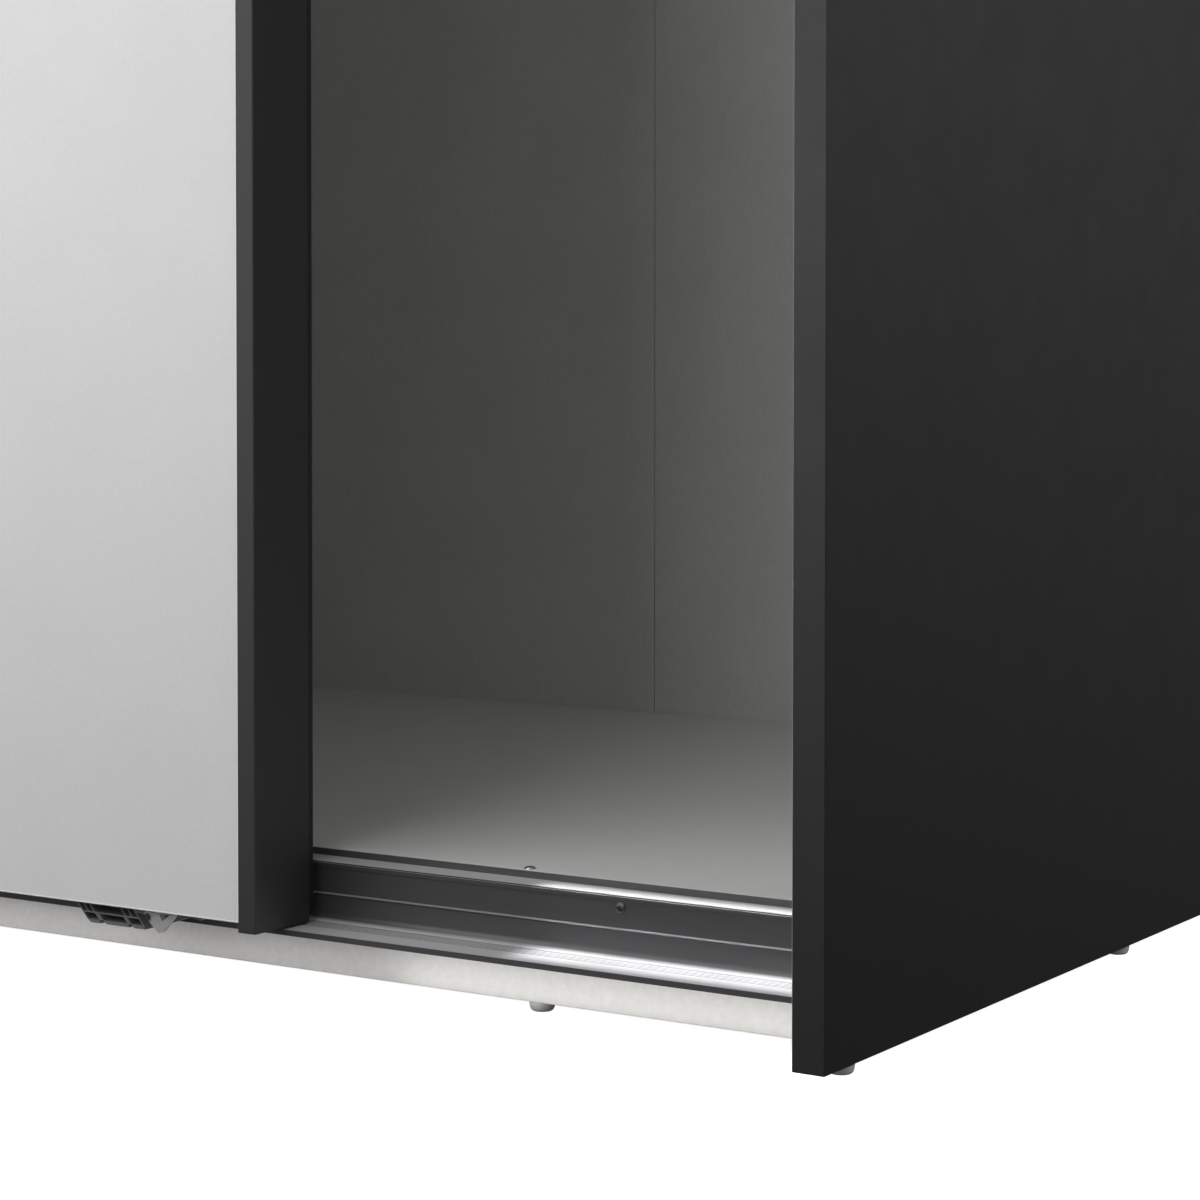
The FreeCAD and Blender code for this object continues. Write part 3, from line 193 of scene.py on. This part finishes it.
def hardboard(name, face_code, back_code, limit):
    """Thin hardboard: printed smooth face towards the inside, raw brown pressed fibre behind."""
    made, tree, bsdf = material(name, IOR=1.5)
    place = add(tree, "ShaderNodeTexCoord").outputs["Object"]
    depth = add(tree, "ShaderNodeSeparateXYZ", {"Vector": place}).outputs["Y"]
    behind = add(tree, "ShaderNodeMath", {0: depth, 1: limit}, operation="GREATER_THAN").outputs[0]
    both = add(tree, "ShaderNodeMix", {"Factor": behind, "A": linear(face_code), "B": linear(back_code)},
               data_type="RGBA").outputs["Result"]
    fibre = blotch(tree, 2.0 * MM, 0.97, 1.03, detail=3.0, stretch=(1, 1, 0.4))
    cloud = blotch(tree, 80 * MM, 0.97, 1.03)
    tone = add(tree, "ShaderNodeMath", {0: fibre, 1: cloud}, operation="MULTIPLY").outputs[0]
    tree.links.new(shaded(tree, both, tone), bsdf.inputs["Base Color"])
    tree.links.new(blotch(tree, 12 * MM, 0.55, 0.68), bsdf.inputs["Roughness"])
    bump = add(tree, "ShaderNodeBump", {"Height": fibre, "Strength": 0.15, "Distance": 0.05 * MM})
    tree.links.new(bump.outputs["Normal"], bsdf.inputs["Normal"])
    return made


# ---------------------------------------------------------------- metals
def anodised_aluminium(name, code, roughness, along, painted_highlight=None):
    """Extruded aluminium, etched and anodised dark: satin, with faint die lines along the profile.

    What the eye sees is the dyed oxide skin, a clear glassy layer over dark dye, so it is no bare metal.
    The colour given for the faces that look up is a painted highlight: a lighter colour that stands in for
    the light those running faces catch."""
    made, tree, bsdf = material(name, IOR=1.62)
    # Die lines are 0.05 to 0.2 mm apart; drawn 0.5 mm apart so that they show.
    stretch = (0.004, 1, 1) if along == "X" else (1, 1, 0.004)
    lines = blotch(tree, 0.5 * MM, 0.0, 1.0, detail=2.0, stretch=stretch)
    tone = add(tree, "ShaderNodeMapRange", {"Value": lines, "To Min": 0.94, "To Max": 1.06}).outputs["Result"]
    cloud = blotch(tree, 40 * MM, 0.96, 1.04, stretch=stretch)
    both = add(tree, "ShaderNodeMath", {0: tone, 1: cloud}, operation="MULTIPLY").outputs[0]
    colour = linear(code)
    # Painted highlight: faces that look up are mixed towards the lighter colour, standing in for the light
    # they catch.
    if painted_highlight:
        facing = add(tree, "ShaderNodeTexCoord").outputs["Normal"]
        up = add(tree, "ShaderNodeSeparateXYZ", {"Vector": facing}).outputs["Z"]
        painted_highlight_mask = add(tree, "ShaderNodeMapRange", {"Value": up, "From Min": 0.6, "From Max": 0.99})
        mixed = add(tree, "ShaderNodeMix", {"Factor": painted_highlight_mask.outputs["Result"], "A": colour,
                                            "B": linear(painted_highlight)}, data_type="RGBA")
        colour = mixed.outputs["Result"]
    tree.links.new(shaded(tree, colour, both), bsdf.inputs["Base Color"])
    gloss = add(tree, "ShaderNodeMapRange", {"Value": lines, "To Min": roughness - 0.04,
                                             "To Max": roughness + 0.04})
    tree.links.new(gloss.outputs["Result"], bsdf.inputs["Roughness"])
    bump = add(tree, "ShaderNodeBump", {"Height": lines, "Strength": 0.1, "Distance": 0.03 * MM})
    tree.links.new(bump.outputs["Normal"], bsdf.inputs["Normal"])
    return made


def zinc_plated(name, code, roughness):
    """Pressed or turned steel with bright zinc plating: cool grey with a clouded sheen."""
    made, tree, bsdf = material(name, Metallic=1.0)
    cloud = blotch(tree, 4 * MM, 0.85, 1.05, detail=4.0)
    tree.links.new(shaded(tree, linear(code), cloud), bsdf.inputs["Base Color"])
    tree.links.new(blotch(tree, 2 * MM, roughness - 0.06, roughness + 0.08), bsdf.inputs["Roughness"])
    bump = add(tree, "ShaderNodeBump", {"Height": cloud, "Strength": 0.1, "Distance": 0.05 * MM})
    tree.links.new(bump.outputs["Normal"], bsdf.inputs["Normal"])
    return made


def blackened_steel(name, code, roughness):
    """Steel screw or pin with a baked black phosphate: near black, with a dull oily sheen."""
    made, tree, bsdf = material(name, IOR=1.6)
    cloud = blotch(tree, 1.5 * MM, 0.8, 1.2, detail=3.0)
    tree.links.new(shaded(tree, linear(code), cloud), bsdf.inputs["Base Color"])
    tree.links.new(blotch(tree, 1 * MM, roughness - 0.05, roughness + 0.1), bsdf.inputs["Roughness"])
    bump = add(tree, "ShaderNodeBump", {"Height": cloud, "Strength": 0.1, "Distance": 0.05 * MM})
    tree.links.new(bump.outputs["Normal"], bsdf.inputs["Normal"])
    return made


def chrome_tube(name):
    """Steel tube, polished and chromed: a mirror with faint drawing lines along it."""
    made, tree, bsdf = material(name, Metallic=1.0)
    lines = blotch(tree, 0.6 * MM, 0.0, 1.0, detail=1.0, stretch=(0.01, 1, 1))
    tone = add(tree, "ShaderNodeMapRange", {"Value": lines, "To Min": 0.97, "To Max": 1.0}).outputs["Result"]
    tree.links.new(shaded(tree, linear("d6d8da"), tone), bsdf.inputs["Base Color"])
    gloss = add(tree, "ShaderNodeMapRange", {"Value": lines, "To Min": 0.05, "To Max": 0.11})
    tree.links.new(gloss.outputs["Result"], bsdf.inputs["Roughness"])
    return made


# ---------------------------------------------------------------- plastics, rubber, wood
def moulded(name, code, roughness, grain=0.8):
    """Injection-moulded plastic with spark-eroded grain: even colour, slightly broken gloss."""
    made, tree, bsdf = material(name, IOR=1.5)
    tone = blotch(tree, 8 * MM, 0.95, 1.05)
    tree.links.new(shaded(tree, linear(code), tone), bsdf.inputs["Base Color"])
    tree.links.new(blotch(tree, 3 * MM, roughness - 0.05, roughness + 0.05), bsdf.inputs["Roughness"])
    # The grain is really 0.2 mm; grain is the size in mm at which it is drawn, so that it shows.
    pits = blotch(tree, grain * MM, 0.0, 1.0, detail=2.0)
    bump = add(tree, "ShaderNodeBump", {"Height": pits, "Strength": 0.15, "Distance": 0.05 * MM})
    tree.links.new(bump.outputs["Normal"], bsdf.inputs["Normal"])
    return made


def extruded_rubber(name):
    """Black EPDM rubber, extruded: nearly no gloss, with drag lines along its length."""
    made, tree, bsdf = material(name, IOR=1.5)
    drag = blotch(tree, 0.7 * MM, 0.85, 1.15, detail=2.0, stretch=(1, 1, 0.01))
    tree.links.new(shaded(tree, linear("151515"), drag), bsdf.inputs["Base Color"])
    tree.links.new(blotch(tree, 5 * MM, 0.7, 0.85), bsdf.inputs["Roughness"])
    bump = add(tree, "ShaderNodeBump", {"Height": drag, "Strength": 0.2, "Distance": 0.05 * MM})
    tree.links.new(bump.outputs["Normal"], bsdf.inputs["Normal"])
    return made


def beech(name):
    """Turned beech: pale brown with short darker flecks along the grain."""
    made, tree, bsdf = material(name, IOR=1.5, Roughness=0.6)
    fleck = blotch(tree, 1.5 * MM, 0.75, 1.1, detail=4.0, stretch=(1, 1, 0.2))
    tree.links.new(shaded(tree, linear("c9a57c"), fleck), bsdf.inputs["Base Color"])
    return made


def finishes():
    """Every material by its record slot, and the exceptions by node."""
    inner_decor, graphite = "cececc", "1f1f20"
    # The band's pure white is partly a painted highlight on the doors' eased edges.
    door_white, band_white_painted_highlight = "dadada", "ffffff"
    side_limit = SIDE_LOW.x + SKIN
    back_limit = BACK_HIGH.y - SKIN
    slots = {
        "graphite_board": melamine("graphite_melamine_side", graphite, 0.5, ("X", side_limit, inner_decor)),
        "grey_board": melamine("grey_melamine", inner_decor, 0.5),
        "plinth_board": linen_board("linen_print_melamine", "e6e4e1", 0.55),
        "back_sheet": hardboard("printed_hardboard", inner_decor, "7a5a3e", back_limit),
        "white_door_board": melamine("white_melamine_front", door_white, 0.42,
                                     band=("front_door_panel", band_white_painted_highlight)),
        "dark_anodised_aluminium": anodised_aluminium("dark_anodised_aluminium_upright", "1e1e1f", 0.6, "Z"),
        "black_steel": blackened_steel("blackened_steel", "2c2c2e", 0.35),
        "zinc_steel": zinc_plated("zinc_plated_steel", "b5b7ba", 0.32),
        "black_plastic": moulded("moulded_black_polyamide", "262627", 0.5),
        "grey_plastic": moulded("moulded_grey_polypropylene", "a2a3a4", 0.48),
        "nylon": moulded("turned_white_nylon", "dedcd6", 0.35, 1.5),
        "black_rubber": extruded_rubber("extruded_black_rubber"),
        "chromed_steel": chrome_tube("chromed_steel_tube"),
        "cast_zinc": zinc_plated("die_cast_zinc", "c2c3c5", 0.28),
        "beech": beech("turned_beech"),
    }
    # The rail's lighter colour for the faces that look up is a painted highlight.
    rail = anodised_aluminium("dark_anodised_aluminium_rail_painted_highlight", "38383a", 0.42, "X", "b4b4b6")
    top = melamine("graphite_melamine_top", graphite, 0.5, ("Z", TOP_LOW.z + SKIN, inner_decor))
    rear_door = melamine("white_melamine_rear", door_white, 0.42, band=("rear_door_panel", band_white_painted_highlight))
    guide = moulded("moulded_dark_grey_polyacetal", "6c6c6e", 0.42)
    return slots, {"lower_rail": rail, "upper_rail": rail, "top_board": top, "rear_door_panel": rear_door,
                   "front_guide_left": guide, "front_guide_right": guide, "rear_guides": guide}


def dress_nodes(slots, exceptions):
    """Gives each CAD node its slot's material, unless it has one of its own."""
    chosen = {row["node"]: row["material_slot"] for row in frame["record"]["subparts"]}
    for name, obj in frame["nodes"].items():
        finish = exceptions.get(name, slots[chosen[name]])
        obj.data.materials.clear()
        obj.data.materials.append(finish)


# ---------------------------------------------------------------- small turned and moulded pieces
def turned(bm, profile, place, segments=36):
    """Adds the (radius, height) profile turned about the upright axis, moved by the matrix."""
    rings = []
    for radius, height in profile:
        count = segments if radius else 1
        angles = [2 * math.pi * i / segments for i in range(count)]
        points = [Vector((radius * math.cos(a), radius * math.sin(a), height)) for a in angles]
        rings.append([bm.verts.new(place @ point) for point in points])
    for low, high in zip(rings, rings[1:]):
        for i in range(segments):
            j = (i + 1) % segments
            corners = [low[i % len(low)], low[j % len(low)], high[j % len(high)], high[i % len(high)]]
            bm.faces.new(list(dict.fromkeys(corners)))


def piece(name, bm, finish, body, replaced):
    """Turns the mesh into a shown piece that stands in for a CAD node."""
    bmesh.ops.recalc_face_normals(bm, faces=bm.faces)
    for face in bm.faces:
        face.smooth = True
    for edge in bm.edges:
        edge.smooth = edge.calc_face_angle(0) < SMOOTH_BELOW
    mesh = bpy.data.meshes.new(name)
    bm.to_mesh(mesh)
    bm.free()
    mesh.materials.append(finish)
    shown = bpy.data.objects.new(name, mesh)
    bpy.context.scene.collection.objects.link(shown)
    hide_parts(replaced)
    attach(shown, body)


def islands(node):
    """The vertices of each separate solid in a CAD node."""
    bm = bmesh.new()
    bm.from_mesh(frame["nodes"][node].data)
    bmesh.ops.remove_doubles(bm, verts=bm.verts, dist=1e-6)
    left = set(bm.verts)
    found = []
    while left:
        front = [left.pop()]
        island = []
        while front:
            vert = front.pop()
            island.append(vert.co.copy())
            linked = {edge.other_vert(vert) for edge in vert.link_edges} & left
            left -= linked
            front += linked
        found.append(island)
    bm.free()
    return found


def middle_and_size(points):
    """The middle and the size of the points' box."""
    low = Vector([min(p[i] for p in points) for i in range(3)])
    high = Vector([max(p[i] for p in points) for i in range(3)])
    return (low + high) / 2, high - low


def cross_head():
    """A domed screw head, 5.6 mm across, with a cross recess."""
    bm = bmesh.new()
    turned(bm, [(r * MM, h * MM) for r, h in HEAD_OUTLINE], Matrix(), 40)
    bmesh.ops.recalc_face_normals(bm, faces=bm.faces)
    head_mesh = bpy.data.meshes.new("head")
    bm.to_mesh(head_mesh)
    bm.free()
    head = bpy.data.objects.new("head", head_mesh)
    bpy.context.scene.collection.objects.link(head)
    for width, length in ((ARM_WIDTH, ARM_LENGTH), (ARM_LENGTH, ARM_WIDTH)):
        bm = bmesh.new()
        bmesh.ops.create_cube(bm, size=1.0)
        for vert in bm.verts:
            taper = 1.0 if vert.co.z > 0 else ARM_TAPER
            x, y, z = vert.co
            vert.co = Vector((x * width * taper, y * length * taper, z * ARM_DEPTH + ARM_MIDDLE)) * MM
        arm_mesh = bpy.data.meshes.new("arm")
        bm.to_mesh(arm_mesh)
        bm.free()
        arm = bpy.data.objects.new("arm", arm_mesh)
        bpy.context.scene.collection.objects.link(arm)
        cut = head.modifiers.new("cut", "BOOLEAN")
        cut.operation, cut.object = "DIFFERENCE", arm
        cut_mesh = bpy.data.meshes.new_from_object(head.evaluated_get(bpy.context.evaluated_depsgraph_get()))
        head.modifiers.clear()
        head.data = cut_mesh
        bpy.data.objects.remove(arm)
    made = head.data
    bpy.data.objects.remove(head)
    return made


def screws(node, finish, head):
    """Screws with recessed heads where the CAD node has them: the widest ring is the head's seat."""
    bm = bmesh.new()
    for points in islands(node):
        middle, size = middle_and_size(points)
        axis = max(range(3), key=lambda i: size[i])
        radial = [(Vector([p[i] - middle[i] for i in range(3) if i != axis]).length, p[axis]) for p in points]
        widest = max(r for r, _ in radial)
        seat = [at for r, at in radial if r > widest * 0.98]
        place = middle.copy()
        place[axis] = sum(seat) / len(seat)
        outward = Vector([0, 0, 0])
        outward[axis] = 1 if place[axis] > middle[axis] else -1
        turn = Vector((0, 0, 1)).rotation_difference(outward).to_matrix().to_4x4()
        shown = head.copy()
        shown.transform(Matrix.Translation(place) @ turn)
        bm.from_mesh(shown)
        length = size[axis] - HEAD_HEIGHT
        shank = [(0, -length), (SHANK_TIP_RADIUS, -length), (SHANK_RADIUS, -length * SHANK_STRAIGHT),
                 (SHANK_RADIUS, 0), (0, 0)]
        turned(bm, shank, Matrix.Translation(place) @ turn, 16)
    piece(node + "_recessed", bm, finish, "carcass", node)


def rounded_glides(finish):
    """Moulded nail-on glides: straight flank, rounded tread."""
    bm = bmesh.new()
    for points in islands("glides"):
        middle, size = middle_and_size(points)
        radius, height = size.x / 2, size.z
        foot = Matrix.Translation((middle.x, middle.y, middle.z - height / 2))
        turned(bm, [(r * radius, h * height) for r, h in GLIDE_OUTLINE], foot)
    piece("rounded_glides", bm, finish, "carcass", "glides")


# ---------------------------------------------------------------- room, light and camera
def room():
    """An overexposed white floor, a dome that is brighter above than below, and the lights."""
    bpy.ops.mesh.primitive_plane_add(size=60, location=(0, 0, 0))
    floor = bpy.context.object
    floor.name = "studio_floor"
    made, _, _ = material("overexposed_white_floor", Base_Color=linear("f4f4f4"), Roughness=0.9,
                          Emission_Color=linear("ffffff"), Emission_Strength=FLOOR_GLOW)
    floor.data.materials.append(made)
    floor.visible_diffuse = False
    floor.visible_glossy = False
    world = bpy.data.worlds.new("white_room")
    bpy.context.scene.world = world
    world.use_nodes = True
    tree = world.node_tree
    place = add(tree, "ShaderNodeTexCoord").outputs["Generated"]
    height = add(tree, "ShaderNodeSeparateXYZ", {"Vector": place}).outputs["Z"]
    glow = add(tree, "ShaderNodeMapRange", {"Value": height, "From Min": -0.25, "From Max": 0.05,
                                            "To Min": WORLD_LOW, "To Max": WORLD_HIGH})
    # The backdrop itself is seen as white as the floor, and only its light follows the dome.
    seen = add(tree, "ShaderNodeLightPath").outputs["Is Camera Ray"]
    strength = add(tree, "ShaderNodeMix", {"Factor": seen, "A": glow.outputs["Result"], "B": 1.0})
    background = tree.nodes["Background"]
    background.inputs["Color"].default_value = (1, 1, 1, 1)
    tree.links.new(strength.outputs["Result"], background.inputs["Strength"])
    softbox("front_softbox", (-0.28, SIDE_LOW.y - 1.15, 1.42), (0, 1, 0), (2.66, 2.35), FRONT_POWER)
    softbox("right_softbox", (SIDE_HIGH.x + 1.2, 0.2, 1.55), (-1, 0, 0), (2.4, 2.1), RIGHT_POWER)
    softbox("top_softbox", (0.6, -1.2, 3.2), (-0.1, 0.3, -1), (2.0, 1.6), TOP_POWER)
    # Two more for the left side and the back, narrow enough to give the front and the right nothing.
    softbox("left_softbox", (-2.2, 0.35, 1.3), (1, 0, 0), (1.2, 2.0), LEFT_POWER)
    softbox("back_softbox", (0, 1.9, 1.3), (0, -1, 0), (1.8, 2.0), BACK_POWER)
    # The white floor's bounce under the rail, onto the plinth; its right end gets more of it.
    # Between the two, a narrow strip light over the same end, so that the rail's running faces shine.
    bounce_y, strip_y = SIDE_LOW.y + 0.027, SIDE_LOW.y + 0.046
    softbox("floor_bounce", (0, bounce_y, 0.002), (0, 0, 1), (1.88, 0.045), BOUNCE_POWER)
    softbox("rail_strip", (0.86, strip_y, 0.16), (0, 0, -1), (0.16, 0.03), RAIL_STRIP_POWER, 12)
    softbox("floor_bounce_end", (0.82, bounce_y, 0.003), (0, 0, 1), (0.24, 0.045), BOUNCE_END_POWER)


def softbox(name, place, direction, size, power, spread=180):
    """A rectangular light that the camera doesn't see; spread is its cone in degrees."""
    light = bpy.data.lights.new(name, "AREA")
    light.shape = "RECTANGLE"
    light.size, light.size_y = size
    light.energy = power
    light.spread = math.radians(spread)
    holder = bpy.data.objects.new(name, light)
    bpy.context.scene.collection.objects.link(holder)
    holder.location = place
    holder.rotation_euler = Vector(direction).to_track_quat("-Z", "Y").to_euler()
    holder.visible_camera = False


def camera():
    """The eye is low, in front of the front right corner, and looks 33 degrees left of straight in."""
    lens_mm, sensor_mm = 87.2, 36.0
    heading, pitch = math.radians(33.11), math.radians(1.657)
    corner = Vector((SIDE_HIGH.x, SIDE_LOW.y, SIDE_LOW.z))
    from_corner = Vector((0.5751, -1.0843, 0.2986))
    level = math.cos(pitch)
    look = Vector((-math.sin(heading) * level, math.cos(heading) * level, -math.sin(pitch)))
    data = bpy.data.cameras.new("camera")
    data.lens, data.sensor_width = lens_mm, sensor_mm
    data.shift_x, data.shift_y = 0.0306, -0.12
    data.clip_start, data.clip_end = 0.05, 100
    holder = bpy.data.objects.new("camera", data)
    bpy.context.scene.collection.objects.link(holder)
    holder.location = corner + from_corner
    holder.rotation_euler = look.to_track_quat("-Z", "Y").to_euler()
    bpy.context.scene.camera = holder


room()
camera()
bpy.context.scene.view_settings.view_transform = "Standard"
finish_by_slot, finish_by_node = finishes()
dress_nodes(finish_by_slot, finish_by_node)
recessed = cross_head()
screws("lower_rail_screws", finish_by_slot["black_steel"], recessed)
screws("carcass_screws", finish_by_slot["zinc_steel"], recessed)
rounded_glides(moulded("moulded_grey_glide_nylon", "f0f0f0", 0.45))
